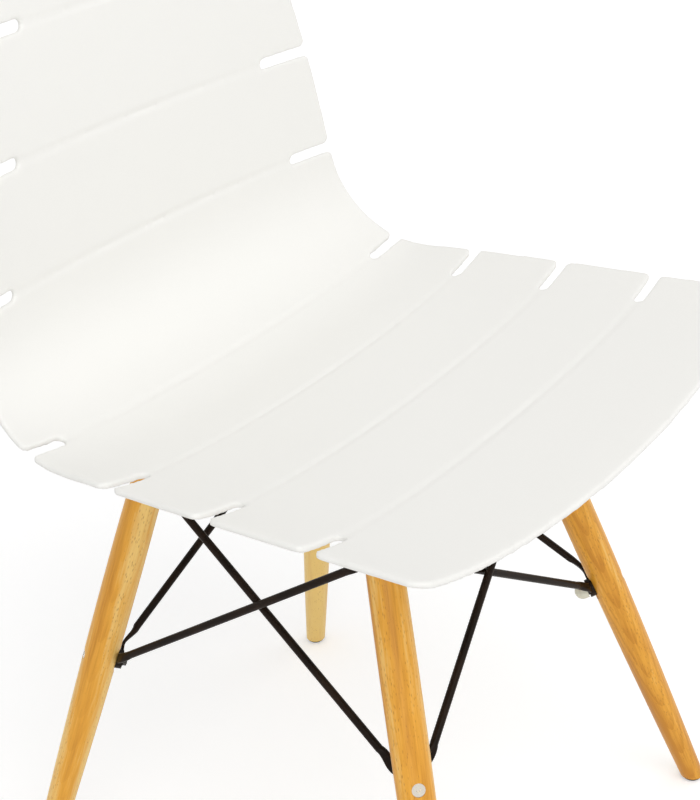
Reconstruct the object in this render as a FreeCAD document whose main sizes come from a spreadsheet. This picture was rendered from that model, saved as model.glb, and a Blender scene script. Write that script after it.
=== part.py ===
"""Moulded plastic shell chair: one plastic shell on four turned beech legs
that eight crossing steel struts tie together.

Millimetres. +Z is up, the sitter faces -Y and the sitter's left is +X. The
origin is on the floor, in the middle of the chair's outer box.
"""
import FreeCAD, Part
import math
import os

import Sketcher
from FreeCAD import Placement, Rotation, Vector

X_AXIS = Vector(1, 0, 0)
Y_AXIS = Vector(0, 1, 0)
Z_AXIS = Vector(0, 0, 1)

DIMENSIONS = (
    # the shell
    ("shell_thickness", 5.0, "wall of the moulded shell"),
    ("half_width", 235.4, "middle of the seat to its side edge, at the front"),
    ("front_edge", -227.5, "front edge of the seat, from the origin"),
    ("front_height", 429.9, "top of the front edge above the floor, in the middle"),
    ("front_bow", 19.1, "how far the front edge curves back towards its corners"),
    ("front_corner", 16.0, "corner radius of the front edge"),
    ("lip_length", 38.4, "front part of the seat that rolls down"),
    ("lip_turn", 2.0, "angle by which the front part rolls down"),
    ("seat_pitch", 1.5, "slope of the seat, down to the back"),
    ("seat_run", 269.1, "straight part of the seat between lip and bend"),
    ("bend_radius", 95.2, "radius between seat and back"),
    ("lumbar_run", 86.0, "upright part of the back above the bend"),
    ("back_run", 206.0, "upper part of the back, which leans away"),
    ("back_turn", 12.0, "angle by which the top of the back leans away"),
    ("top_corner", 42.0, "corner radius of the top edge"),
    ("top_bow", 9.0, "rise of the top edge in its middle"),
    ("taper_start", 443.4, "distance along the shell round which the back narrows"),
    ("taper_slope", 0.33, "narrowing of each side per length of the back"),
    ("taper_blend", 108.3, "softness of the start of the narrowing"),
    ("dish_front", 9.4, "rise of the seat at the ends of the front slots"),
    ("dish_bend", 9.9, "the same rise at the bend"),
    ("dish_back", 11.1, "the same rise on the back"),
    ("lift_seat", 9.7, "how far the side edges of the seat turn up beyond that"),
    ("lift_back", 6.6, "the same on the back"),
    ("slot_first", 98.1, "front edge to the first pair of slots, along the shell"),
    ("slot_pitch", 81.2, "from one pair of slots on the seat to the next"),
    ("slot_pitch_curve", 84.4, "from the third pair of slots to the pair at the bend"),
    ("slot_pitch_bend", 122.1, "from the slots at the bend to the next pair"),
    ("slot_pitch_back", 87.0, "from one pair of slots on the back to the next"),
    ("root_first", 198.0, "inner end of the first slots from the front, from the middle"),
    ("root_second", 192.9, "the same of the second slots"),
    ("root_third", 190.7, "the same of the third slots"),
    ("root_bend", 187.0, "the same of the slots at the bend"),
    ("root_fifth", 158.7, "the same of the fifth slots"),
    ("root_sixth", 133.6, "the same of the sixth slots"),
    ("root_top", 106.0, "the same of the top slots"),
    ("slot_width", 8.0, "width of a slot"),
    ("slot_corner", 6.8, "radius of the plank corners at the mouth of a slot"),
    ("groove_radius", 2.2, "radius of the shallow groove between two slots"),
    ("groove_depth", 0.9, "depth of that groove in the middle"),
    ("boss_radius", 8.0, "screw boss under the seat"),
    ("boss_bottom", 412.0, "lower face of the screw bosses above the floor"),
    ("rib_thickness", 2.6, "ribs between the screw bosses"),
    # the legs
    ("base_centre", 12.9, "middle of the four legs, from the origin towards the back"),
    ("top_side", 96.0, "leg axis to the middle plane, at the top"),
    ("top_depth", 92.0, "leg axis to the middle of the base front to back, at the top"),
    ("top_height", 411.8, "height at which these two are measured"),
    ("foot_side", 197.5, "leg axis to the middle plane, at the floor"),
    ("foot_depth", 205.9, "leg axis to the middle of the base, at the floor"),
    ("leg_foot_radius", 9.0, "leg at the floor"),
    ("leg_shin_radius", 11.9, "leg half way up to its thickest part"),
    ("leg_belly_radius", 13.5, "leg at its thickest, where the lower struts are bolted on"),
    ("leg_top_radius", 11.5, "leg at its top end"),
    ("joint_lower", 0.523, "lower strut joint, as a share of the leg from the floor"),
    ("joint_upper", 47.0, "upper strut joint below the top of the leg, along it"),
    ("bolt_yaw", 42.7, "bolt turned from front-to-back towards the middle plane"),
    ("flat_depth", 1.2, "depth of the flats that are milled on a leg for its joints"),
    ("flat_radius", 11.5, "radius of the flats round a bolt"),
    # the steel parts
    ("rod_radius", 3.0, "round part of a strut"),
    ("lug_radius", 7.5, "rounded flat end of a strut"),
    ("lug_thickness", 2.5, "flat end of a strut"),
    ("neck_width", 8.0, "flat neck between the end and the round part"),
    ("neck_length", 14.6, "bolt to the bend at the end of the flat neck"),
    ("neck_rise", 37.3, "slope of the neck against a line across the leg"),
    ("pinch_length", 15.0, "stretch in which a strut changes from round to flat"),
    ("rod_offset", 2.3, "a strut's axis beside its flat end, so that crossing struts pass"),
    ("bracket_length", 68.0, "top plate of a leg bracket, along its bend"),
    ("bracket_width", 40.0, "top plate of a leg bracket, across its bend"),
    ("bracket_thickness", 3.0, "steel of a leg bracket"),
    ("bracket_corner", 6.0, "corner radius of the top plate"),
    ("tab_width", 18.0, "tab of a leg bracket that is bolted to the leg"),
    ("spacer_thickness", 3.0, "rubber spacer between bracket and bosses"),
    ("screw_spacing", 24.0, "screw to the middle of a bracket"),
    # the fasteners
    ("bolt_radius", 2.5, "leg bolt"),
    ("bolt_clearance", 0.2, "room round a leg bolt in its holes"),
    ("head_radius", 4.8, "countersunk head of a leg bolt"),
    ("head_rim", 0.5, "straight rim of that head"),
    ("head_sink", 0.5, "how deep that head is sunk below the leg's outer side"),
    ("socket_radius", 1.7, "hexagon socket in the head, across its corners"),
    ("socket_depth", 1.6, "depth of that socket"),
    ("washer_radius", 5.0, "washer under a nut"),
    ("washer_thickness", 1.0, "thickness of that washer"),
    ("nut_radius", 4.6, "hexagon of a nut, across its corners"),
    ("nut_height", 2.7, "hexagon part of a nut"),
    ("dome_radius", 3.8, "dome on the nuts of the upper joints"),
    ("cap_radius", 6.6, "round cap nut on the lower joints of the front legs"),
    ("cap_skirt", 3.3, "straight part of that cap below its dome"),
    ("screw_radius", 2.2, "screw through bracket and spacer into a boss"),
    ("screw_head_radius", 4.4, "head of that screw"),
    ("screw_head_height", 2.4, "height of that head"),
    ("screw_length", 12.0, "length of that screw under its head"),
    # the glides
    ("glide_radius", 8.0, "glide under a foot"),
    ("glide_height", 3.0, "height of the glide"),
    ("nail_radius", 1.2, "nail that holds a glide"),
    ("nail_head_radius", 3.2, "head of that nail"),
    ("nail_length", 18.0, "nail inside the leg"),
)

doc = FreeCAD.newDocument("shell_chair")
sheet = doc.addObject("Spreadsheet::Sheet", "dims")
for row, (alias, value, meaning) in enumerate(DIMENSIONS, start=1):
    sheet.set(f"A{row}", meaning)
    sheet.set(f"B{row}", str(value))
    sheet.setAlias(f"B{row}", alias)
doc.recompute()

sub_parts = []


def size(alias):
    """The value of a dimension in the sheet."""
    return float(sheet.get(alias))


def bind(item, **formulas):
    """Bind properties of a document object to formulas of the sheet's cells."""
    for name, formula in formulas.items():
        item.setExpression(name, formula)


def keep(item, name):
    """Name a finished sub-part; its label is also its file name."""
    item.Label = name
    sub_parts.append(item)
    return item


def frame_at(origin, x_dir, y_dir, z_dir):
    return Placement(origin, Rotation(x_dir, y_dir, z_dir, "ZXY"))


# The shell: its middle line as seen from the side

def shell_runs():
    """Length and turn of each stretch of the middle line, front to top."""
    turn = math.radians(size("lip_turn"))
    bend = math.radians(90 + size("seat_pitch"))
    lean = math.radians(size("back_turn"))
    return ((size("lip_length"), -turn),
            (size("seat_run"), 0.0),
            (size("bend_radius") * bend, bend),
            (size("lumbar_run"), 0.0),
            (size("back_run"), -lean))


def shell_station(distance):
    """Point, direction along the shell and upward normal of its top face."""
    heading = math.radians(size("lip_turn") - size("seat_pitch"))
    y, z = size("front_edge"), size("front_height")
    for length, turn in shell_runs():
        step = min(distance, length)
        part_turn = turn * step / length
        middle = heading + part_turn / 2
        chord = step * (math.sin(part_turn / 2) / (part_turn / 2) if part_turn else 1.0)
        y += chord * math.cos(middle)
        z += chord * math.sin(middle)
        heading += part_turn
        distance -= step
        if distance <= 0:
            break
    along = Vector(0, math.cos(heading), math.sin(heading))
    normal = Vector(0, -math.sin(heading), math.cos(heading))
    return Vector(0, y, z), along, normal


def shell_length():
    return sum(length for length, turn in shell_runs())


def half_width(distance):
    """Middle line to side edge; it shrinks softly above the bend."""
    blend = size("taper_blend")
    soft = blend * math.log1p(math.exp((distance - size("taper_start")) / blend))
    return size("half_width") - size("taper_slope") * soft


def smooth_step(value, low, high):
    share = min(max((value - low) / (high - low), 0.0), 1.0)
    return share * share * (3 - 2 * share)


def slot_distances():
    """Places of the seven pairs of slots along the shell, front to top."""
    first = size("slot_first")
    seat = [first + size("slot_pitch") * count for count in range(3)]
    bend = seat[-1] + size("slot_pitch_curve")
    lumbar = bend + size("slot_pitch_bend")
    back = [lumbar + size("slot_pitch_back") * count for count in range(3)]
    return seat + [bend] + back


def slot_roots():
    """Inner ends of the slots, from the middle plane, front to top."""
    places = ("first", "second", "third", "bend", "fifth", "sixth", "top")
    return [size("root_" + place) for place in places]


DISH_WIDTH = 190.0
LIFT_WIDTH = 235.0
LIFT_POWER = 6


def dish(distance, across):
    """Rise of the top face at a distance from the middle plane."""
    slots = slot_distances()
    to_bend = smooth_step(distance, slots[0], slots[3])
    to_back = smooth_step(distance, slots[3], slots[4])
    rise = size("dish_front") + (size("dish_bend") - size("dish_front")) * to_bend
    rise += (size("dish_back") - size("dish_bend")) * to_back
    lift = size("lift_seat") + (size("lift_back") - size("lift_seat")) * to_back
    return rise * (across / DISH_WIDTH) ** 2 + lift * (across / LIFT_WIDTH) ** LIFT_POWER


def shell_point(distance, across, height=0.0):
    """A point of the top face, or of a level above or below it."""
    origin, along, normal = shell_station(distance)
    return origin + X_AXIS * across + normal * (dish(distance, across) + height)


def arc_through(first, middle, last):
    return Part.Arc(first, middle, last).toShape()


def curve_across(distance, reach, level, deepening=0.0):
    """A smooth curve from side to side at a level above the top face.

    It lies lower in the middle where it is deepened.
    """
    points = []
    for place in range(LIFT_POWER + 1):
        share = 2 * place / LIFT_POWER - 1
        height = level - deepening * (1 - share ** 2)
        points.append([shell_point(distance, share * reach, height)])
    curve = Part.BezierCurve()
    curve.interpolate(points)
    return curve.toShape()


def shell_section(distance):
    """Closed cross-section: two long curves joined by full-round side edges."""
    wall = size("shell_thickness")
    edge = half_width(distance)
    inner = edge - wall / 2
    corners = {}
    for side in (-1, 1):
        for level in (0.0, -wall):
            corners[side, level] = shell_point(distance, side * inner, level)
    rims = {side: shell_point(distance, side * inner, -wall / 2) + X_AXIS * (side * wall / 2)
            for side in (-1, 1)}
    return Part.Wire([
        curve_across(distance, inner, 0.0),
        arc_through(corners[1, 0.0], rims[1], corners[1, -wall]),
        curve_across(distance, -inner, -wall),
        arc_through(corners[-1, -wall], rims[-1], corners[-1, 0.0]),
    ])


STATIONS = 25


def shell_blank():
    """The bent and dished panel before its outline and slots are cut."""
    step = shell_length() / (STATIONS - 1)
    sections = [shell_section(step * count) for count in range(STATIONS)]
    return Part.makeLoft(sections, True, False)


def prism(outline, direction):
    return Part.Face(Part.Wire(outline)).extrude(direction)


def line(first, last):
    return Part.makeLine(first, last)


def rounded_corner(tip, side_way, edge_way, radius):
    """Three points of the arc that rounds a corner between two directions."""
    half = side_way.getAngle(edge_way) / 2
    run = radius / math.tan(half)
    inward = (side_way + edge_way).normalize()
    crown = tip + inward * (radius / math.sin(half) - radius)
    return tip + side_way * run, crown, tip + edge_way * run


def end_trim(distance, bow, radius, slope, outward):
    """What is cut off one end of the blank, so that it is bowed with round corners.

    outward is -1 at the front edge and 1 at the top edge; slope is how much the
    panel widens on each side away from that edge.
    """
    origin, along, normal = shell_station(distance)
    away = along * outward
    reach = 60.0
    base = origin - normal * reach
    width = half_width(distance) + slope * bow + 0.3
    corners = {}
    for side in (-1, 1):
        tip = base + X_AXIS * (side * width) - away * bow
        side_way = (X_AXIS * (side * slope) - away).normalize()
        edge_way = (X_AXIS * -side * width + away * (2 * bow)).normalize()
        corners[side] = rounded_corner(tip, side_way, edge_way, radius)
    crown = base - away * 0.01
    beside = {side: corners[side][0] + X_AXIS * (side * reach) for side in (-1, 1)}
    above = {side: beside[side] + away * (bow + radius + 2 * reach) for side in (-1, 1)}
    outline = [arc_through(*corners[-1]),
               arc_through(corners[-1][2], crown, corners[1][2]),
               arc_through(*reversed(corners[1])),
               line(corners[1][0], beside[1]),
               line(beside[1], above[1]),
               line(above[1], above[-1]),
               line(above[-1], beside[-1]),
               line(beside[-1], corners[-1][0])]
    return prism(outline, normal * (2 * reach))


def slot_cutter(distance, root, side):
    """One slot: round at its inner end, with round plank corners at its mouth."""
    origin, along, normal = shell_station(distance)
    half = size("slot_width") / 2
    corner = size("slot_corner")
    reach = half + corner
    beyond = half_width(distance) + 20.0
    depth = 45.0
    base = origin - normal * depth

    def at(across, beside):
        return base + X_AXIS * (side * across) + along * beside

    mouths = {way: half_width(distance + way * reach) + 0.4 - corner for way in (-1, 1)}
    slant = corner * math.sqrt(0.5)
    rims = {way: (at(mouths[way], way * half),
                  at(mouths[way] + slant, way * (reach - slant)),
                  at(mouths[way] + corner, way * reach)) for way in (-1, 1)}
    outline = [arc_through(at(root + half, -half), at(root, 0), at(root + half, half)),
               line(at(root + half, half), rims[1][0]),
               arc_through(*rims[1]),
               line(rims[1][2], at(beyond, reach)),
               line(at(beyond, reach), at(beyond, -reach)),
               line(at(beyond, -reach), rims[-1][2]),
               arc_through(*reversed(rims[-1])),
               line(rims[-1][0], at(root + half, -half))]
    return prism(outline, normal * (2 * depth))


def groove_cutter(distance, root):
    """A shallow round-bottomed groove that runs out before the slots."""
    radius = size("groove_radius")
    reach = root - 4.0
    path = Part.Wire([curve_across(distance, reach, radius - 0.05, size("groove_depth"))])
    start = path.Edges[0].valueAt(path.Edges[0].FirstParameter)
    tangent = path.Edges[0].tangentAt(path.Edges[0].FirstParameter)
    circle = Part.Wire([Part.makeCircle(radius, start, tangent)])
    return path.makePipeShell([circle], True, False)


def under_seat(depth):
    """The space from the middle of the seat's wall downwards, which trims the bosses."""
    wall = size("shell_thickness")
    width = size("top_side") + 80.0
    start, step = 60.0, 26.0
    sections = []
    for count in range(14):
        distance = start + step * count
        top = [shell_point(distance, across, -wall / 2) for across in (-width, 0.0, width)]
        low = [shell_point(distance, across, -depth) for across in (width, -width)]
        sections.append(Part.Wire([arc_through(*top), line(top[2], low[0]),
                                   line(low[0], low[1]), line(low[1], top[0])]))
    return Part.makeLoft(sections, True, False)


# The legs and their joints

CORNERS = {"rear_right": (-1, 1), "front_right": (-1, -1),
           "front_left": (1, -1), "rear_left": (1, 1)}


def leg_points(corner):
    """Leg axis at the floor and at the top."""
    side, depth = CORNERS[corner]
    centre = size("base_centre")
    foot = Vector(side * size("foot_side"), centre + depth * size("foot_depth"), 0)
    top = Vector(side * size("top_side"), centre + depth * size("top_depth"), size("top_height"))
    return foot, top


def leg_frame(corner):
    """Origin at the foot, Z up the leg's axis, Y along the bolts to the inside."""
    side, depth = CORNERS[corner]
    foot, top = leg_points(corner)
    axis = (top - foot).normalize()
    yaw = math.radians(size("bolt_yaw"))
    inward = Vector(-side * math.sin(yaw), -depth * math.cos(yaw), 0)
    inward = (inward - axis * inward.dot(axis)).normalize()
    return frame_at(foot, inward.cross(axis), inward, axis)


def leg_length():
    foot, top = leg_points("front_left")
    return (top - foot).Length


def joint_height(which):
    """Distance of a strut joint from the floor, along the leg."""
    if which == "lower":
        return leg_length() * size("joint_lower")
    return leg_length() - size("joint_upper")


def leg_radius(which):
    """Radius of the turned leg at a joint; it thins out from its belly to its top."""
    belly, top = size("leg_belly_radius"), size("leg_top_radius")
    if which == "lower":
        return belly
    share = (joint_height("upper") - joint_height("lower")) / (leg_length() - joint_height("lower"))
    return belly - (belly - top) * share ** 1.5


def joint_frame(corner, which, inward=0.0):
    """Frame of a leg moved up to a joint and inwards from the axis."""
    place = leg_frame(corner)
    origin = place.multVec(Vector(0, inward, joint_height(which)))
    return Placement(origin, place.Rotation)


def seat_level(which):
    """Leg axis to the flat on which a joint's plates are stacked."""
    return leg_radius(which) - size("flat_depth")


def head_level(which):
    """Leg axis to the outer face of a bolt's head."""
    return leg_radius(which) - size("head_sink")


def bracket_frame(corner):
    """Top plate of a bracket: over the leg's top, its length along the bend line."""
    top_level = size("boss_bottom") - size("spacer_thickness")
    foot, top = leg_points(corner)
    axis = (top - foot).normalize()
    reach = (top_level - size("bracket_thickness") - foot.z) / axis.z
    centre = foot + axis * reach
    inward = leg_frame(corner).Rotation.multVec(Y_AXIS)
    level = Vector(inward.x, inward.y, 0).normalize()
    shift = size("leg_top_radius") + size("bracket_thickness") - size("bracket_width") / 2 + 0.6
    origin = centre + level * shift
    origin.z = top_level
    return frame_at(origin, level.cross(Z_AXIS), level, Z_AXIS)


# Helpers for document objects

def origin_plane(body, role):
    for feature in body.Origin.OriginFeatures:
        if feature.Role == role:
            return feature
    raise ValueError(role)


def new_sketch(body, name, role):
    sketch = body.newObject("Sketcher::SketchObject", name)
    sketch.AttachmentSupport = [(origin_plane(body, role), "")]
    sketch.MapMode = "FlatFace"
    return sketch


def bound_circle(sketch, radius, across=None):
    """A circle with a bound radius, at the origin or beside it on the X axis."""
    number = sketch.addGeometry(Part.Circle(Vector(0, 0, 0), Z_AXIS, 5.0), False)
    if across is None:
        sketch.addConstraint(Sketcher.Constraint("Coincident", number, 3, -1, 1))
    else:
        sketch.addConstraint(Sketcher.Constraint("PointOnObject", number, 3, -1))
        side, formula = across
        ends = (-1, 1, number, 3) if side > 0 else (number, 3, -1, 1)
        place = sketch.addConstraint(Sketcher.Constraint("DistanceX", *ends, 20.0))
        sketch.setExpression(f"Constraints[{place}]", formula)
    place = sketch.addConstraint(Sketcher.Constraint("Radius", number, 5.0))
    sketch.setExpression(f"Constraints[{place}]", radius)


def turned(name, profile):
    """A body turned about its Z axis from (radius, height) formulas."""
    body = doc.addObject("PartDesign::Body", name)
    sketch = new_sketch(body, name + "_profile", "XZ_Plane")
    start = [Vector(3.0 + index, 1.0 + index, 0) for index in range(len(profile))]
    for index, point in enumerate(start):
        sketch.addGeometry(Part.LineSegment(point, start[(index + 1) % len(start)]), False)
    for index in range(len(profile)):
        following = (index + 1) % len(profile)
        sketch.addConstraint(Sketcher.Constraint("Coincident", index, 2, following, 1))
    for index, (radius, height) in enumerate(profile):
        for kind, formula, axis in (("DistanceX", radius, -2), ("DistanceY", height, -1)):
            if formula == "0":
                sketch.addConstraint(Sketcher.Constraint("PointOnObject", index, 1, axis))
                continue
            place = sketch.addConstraint(Sketcher.Constraint(kind, -1, 1, index, 1, 5.0 + index))
            sketch.setExpression(f"Constraints[{place}]", formula)
    turn = body.newObject("PartDesign::Revolution", name + "_turned")
    turn.Profile = sketch
    turn.ReferenceAxis = (sketch, ["V_Axis"])
    turn.Angle = 360.0
    return body


def cylinder(name, place, radius, height):
    item = doc.addObject("Part::Cylinder", name)
    bind(item, Radius=radius, Height=height)
    item.Placement = place
    return item


def box(name, place, length, width, height):
    """A box centred on its local X axis and standing on its local Y and Z planes."""
    item = doc.addObject("Part::Box", name)
    bind(item, Length=length, Width=width, Height=height)
    doc.recompute()
    item.Placement = place.multiply(Placement(Vector(-item.Length.Value / 2, 0, 0), Rotation()))
    return item


def cone(name, place, wide, narrow):
    """A cone with sides at 45 degrees to its axis."""
    item = doc.addObject("Part::Cone", name)
    bind(item, Radius1=wide, Radius2=narrow, Height=f"{wide} - {narrow}")
    item.Placement = place
    return item


def combine(kind, name, shapes):
    item = doc.addObject(kind, name)
    item.Shapes = shapes
    return item


def cut(name, base, tools):
    """Base less its tools, which are joined first where there are several."""
    item = doc.addObject("Part::Cut", name)
    item.Base = base
    item.Tool = tools[0] if len(tools) == 1 else combine("Part::MultiFuse", name + "_tools", tools)
    return item


def group_of(name, master, places):
    """Identical fasteners in one node, each a solid of its own."""
    items = []
    for number, place in enumerate(places, start=1):
        item = doc.addObject("App::Link", f"{name}_{number}")
        item.LinkedObject = master
        item.Placement = place
        items.append(item)
    group = doc.addObject("Part::Compound", name)
    group.Links = items
    return keep(group, name)


def shifted(place, x=0.0, y=0.0, z=0.0):
    return place.multiply(Placement(Vector(x, y, z), Rotation()))


def bolt_frame(corner, which, level):
    """Z along the bolt to the inside, at a level from the leg's axis."""
    place = joint_frame(corner, which, level)
    turn = Rotation(X_AXIS, -90)
    return Placement(place.Base, place.Rotation.multiply(turn))


# The legs

SLAB = 400.0


def make_leg(corner):
    name = "leg_" + corner
    body = doc.addObject("PartDesign::Body", name + "_blank")
    length = f"{leg_length():.6f}"
    heights = (("foot", "-12 mm"),
               ("shin", f"{length} * dims.joint_lower / 2 * 1 mm"),
               ("belly", f"{length} * dims.joint_lower * 1 mm"),
               ("top", f"({length} + 12) * 1 mm"))
    rings = []
    for ring, (radius, height) in enumerate(heights):
        sketch = new_sketch(body, f"{name}_ring_{ring}", "XY_Plane")
        bind(sketch, **{"AttachmentOffset.Base.z": height})
        bound_circle(sketch, f"dims.leg_{radius}_radius * 1 mm")
        rings.append(sketch)
    loft = body.newObject("PartDesign::AdditiveLoft", name + "_turned")
    loft.Profile = rings[0]
    loft.Sections = rings[1:]
    body.Placement = leg_frame(corner)

    top_level = size("boss_bottom") - size("spacer_thickness") - size("bracket_thickness")
    foot = leg_points(corner)[0]
    under = Placement(Vector(foot.x, foot.y - SLAB / 2, size("glide_height") - SLAB), Rotation())
    over = Placement(Vector(foot.x, foot.y - SLAB / 2, top_level), Rotation())
    tools = [box(name + "_floor", under, str(SLAB), str(SLAB), str(SLAB)),
             box(name + "_ceiling", over, str(SLAB), str(SLAB), str(SLAB))]
    for which in ("lower", "upper"):
        outer = bolt_frame(corner, which, -head_level(which))
        tools.append(cylinder(f"{name}_{which}_hole", shifted(outer, z=-SLAB / 8),
                              "dims.bolt_radius + dims.bolt_clearance", str(SLAB / 4)))
        tools.append(cylinder(f"{name}_{which}_recess", shifted(outer, z=-SLAB / 20),
                              "dims.head_radius + dims.bolt_clearance",
                              f"{SLAB / 20} + dims.head_rim"))
        tools.append(cone(f"{name}_{which}_countersink", shifted(outer, z=size("head_rim")),
                          "dims.head_radius", "dims.bolt_radius"))
    tools.append(cylinder(name + "_inner_flat", bolt_frame(corner, "lower", seat_level("lower")),
                          "dims.flat_radius", str(SLAB / 20)))
    flat = joint_frame(corner, "upper", seat_level("upper"))
    tools.append(box(name + "_top_flat", shifted(flat, z=-size("tab_width") / 2 - 1.0),
                     str(SLAB / 8), str(SLAB / 20), str(SLAB / 4)))
    tools.append(cylinder(name + "_nail_hole", nail_frame(corner), "dims.nail_radius",
                          "dims.nail_length"))
    return keep(cut(name, body, tools), name)


def nail_frame(corner):
    """Upright frame where a leg's axis meets its glide."""
    foot, top = leg_points(corner)
    axis = (top - foot).normalize()
    return Placement(foot + axis * (size("glide_height") / axis.z), Rotation())


# The struts: round bar with pinched, bent and drilled ends

def flat_section(centre, normal, across, width, thickness):
    """A stadium-shaped section in four edges that match ring_section's."""
    across = (across - normal * across.dot(normal)).normalize()
    up = normal.cross(across)
    half = thickness / 2
    run = width / 2 - half
    ends = [centre + across * x + up * y for x, y in
            ((-run, half), (run, half), (run, -half), (-run, -half))]
    return Part.Wire([line(ends[0], ends[1]),
                      arc_through(ends[1], centre + across * width / 2, ends[2]),
                      line(ends[2], ends[3]),
                      arc_through(ends[3], centre - across * width / 2, ends[0])])


def ring_section(centre, normal, across, radius):
    across = (across - normal * across.dot(normal)).normalize()
    up = normal.cross(across)

    def at(degrees):
        angle = math.radians(degrees)
        return centre + across * (radius * math.cos(angle)) + up * (radius * math.sin(angle))

    return Part.Wire([arc_through(at(135 - 90 * turn), at(90 - 90 * turn), at(45 - 90 * turn))
                      for turn in range(4)])


def strut_end(corner, which, layer, other, shift):
    """Where one end of a strut is bolted, and where its straight bar starts."""
    level = seat_level(which) + (layer + 0.5) * size("lug_thickness")
    if which == "upper":
        level += size("bracket_thickness")
    place = joint_frame(corner, which, level)
    across = place.Rotation.multVec(X_AXIS)
    hand = math.copysign(1.0, across.dot(other - place.Base))
    rise = math.radians(size("neck_rise")) * (1 if which == "lower" else -1)
    neck = place.Rotation.multVec(Vector(hand * math.cos(rise), 0, math.sin(rise)))
    length = size("neck_length")
    bend = place.Base + neck * length
    return {"bolt": place.Base, "normal": place.Rotation.multVec(Y_AXIS), "neck": neck,
            "length": length, "bend": bend, "shift": shift, "start": bend + shift}


def end_solids(end, along):
    """Drilled flat end and the pinched stretch up to the round bar."""
    thickness, width = size("lug_thickness"), size("neck_width")
    normal, neck = end["normal"], end["neck"]
    across = neck.cross(normal)
    back = 4.0
    disc = Part.makeCylinder(size("lug_radius"), thickness,
                             end["bolt"] - normal * (thickness / 2), normal)
    first = flat_section(end["bolt"], neck, across, width, thickness)
    strip = Part.Face(first).extrude(neck * (end["length"] - back))
    sections = [
        flat_section(end["bend"] - neck * back, neck, across, width, thickness),
        flat_section(end["bend"] + (along - neck) * 1.0 + end["shift"] * 0.35,
                     (along + neck).normalize(), across, width * 0.98, thickness * 1.1),
        flat_section(end["start"] + along * (size("pinch_length") * 0.42), along, across,
                     width * 0.92, thickness * 1.5),
        ring_section(end["start"] + along * size("pinch_length"), along, across,
                     size("rod_radius")),
    ]
    return [disc, strip, Part.makeLoft(sections, True, False)]


def strut_shape(low_corner, high_corner, layer, shift):
    """One strut from the lower joint of a leg to the upper joint of its neighbour."""
    low_bolt = joint_frame(low_corner, "lower", seat_level("lower")).Base
    high_bolt = joint_frame(high_corner, "upper", seat_level("upper")).Base
    low = strut_end(low_corner, "lower", layer, high_bolt, shift)
    high = strut_end(high_corner, "upper", layer, low_bolt, shift)
    span = high["start"] - low["start"]
    along = Vector(span).normalize()
    pinch = size("pinch_length")
    bar = Part.makeCylinder(size("rod_radius"), span.Length - 2 * pinch,
                            low["start"] + along * pinch, along)
    pieces = end_solids(low, along) + end_solids(high, along * -1)
    whole = bar.multiFuse(pieces).removeSplitter()
    hole = size("bolt_radius") + size("bolt_clearance")
    for end in (low, high):
        depth = size("lug_thickness") * 3
        whole = whole.cut(Part.makeCylinder(hole, depth, end["bolt"] - end["normal"] * (depth / 2),
                                            end["normal"]))
    return whole


# Each side of the base, the leg from which its outer strut rises, the leg to
# which it rises, the ways these two struts rise and the direction out of the chair.
STRUT_SIDES = (
    ("right", "rear_right", "front_right", ("front", "back"), X_AXIS * -1),
    ("front", "front_right", "front_left", ("left", "right"), Y_AXIS * -1),
    ("left", "front_left", "rear_left", ("back", "front"), X_AXIS),
    ("rear", "rear_left", "rear_right", ("right", "left"), Y_AXIS),
)


def side_struts():
    """Name, lower leg, upper leg, layer on the bolt and shift of each strut.

    The outer strut of a side lies next to the wood, the inner one on top of the
    outer strut of the neighbouring side.
    """
    offset = size("rod_offset")
    for side, first, second, ways, outward in STRUT_SIDES:
        yield f"strut_{side}_rising_{ways[0]}", first, second, 0, outward * offset
        yield f"strut_{side}_rising_{ways[1]}", second, first, 1, outward * -offset


def make_struts():
    for name, low, high, layer, shift in side_struts():
        strut = doc.addObject("Part::Feature", name)
        strut.Shape = strut_shape(low, high, layer, shift)
        strut.Placement = Placement()
        keep(strut, name)


# The brackets and their rubber spacers

def drilled_plate(name, thickness):
    """A plate with round corners and two screw holes, on the body's XY plane."""
    body = doc.addObject("PartDesign::Body", name)
    sketch = new_sketch(body, name + "_outline", "XY_Plane")
    reach = [Vector(-30, -15, 0), Vector(30, -15, 0), Vector(30, 15, 0), Vector(-30, 15, 0)]
    for index, point in enumerate(reach):
        sketch.addGeometry(Part.LineSegment(point, reach[(index + 1) % 4]), False)
    for index in range(4):
        sketch.addConstraint(Sketcher.Constraint("Coincident", index, 2, (index + 1) % 4, 1))
        level = "Horizontal" if index % 2 == 0 else "Vertical"
        sketch.addConstraint(Sketcher.Constraint(level, index))
    sketch.addConstraint(Sketcher.Constraint("Symmetric", 0, 1, 2, 1, -1, 1))
    for kind, edge, formula in (("DistanceX", 0, "dims.bracket_length"),
                                ("DistanceY", 1, "dims.bracket_width")):
        place = sketch.addConstraint(Sketcher.Constraint(kind, edge, 1, edge, 2, 40.0))
        sketch.setExpression(f"Constraints[{place}]", formula)
    for side in (-1, 1):
        bound_circle(sketch, "dims.screw_radius", (side, "dims.screw_spacing"))
    pad = body.newObject("PartDesign::Pad", name + "_plate")
    pad.Profile = sketch
    bind(pad, Length=thickness)
    doc.recompute()
    upright = [f"Edge{number}" for number, edge in enumerate(pad.Shape.Edges, start=1)
               if isinstance(edge.Curve, Part.Line) and abs(edge.tangentAt(0).z) > 0.9
               and len(edge.Vertexes) == 2 and edge.Vertexes[0].Point.Length > 20]
    fillet = body.newObject("PartDesign::Fillet", name + "_corners")
    fillet.Base = (pad, upright)
    bind(fillet, Radius="dims.bracket_corner")
    return body


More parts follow.
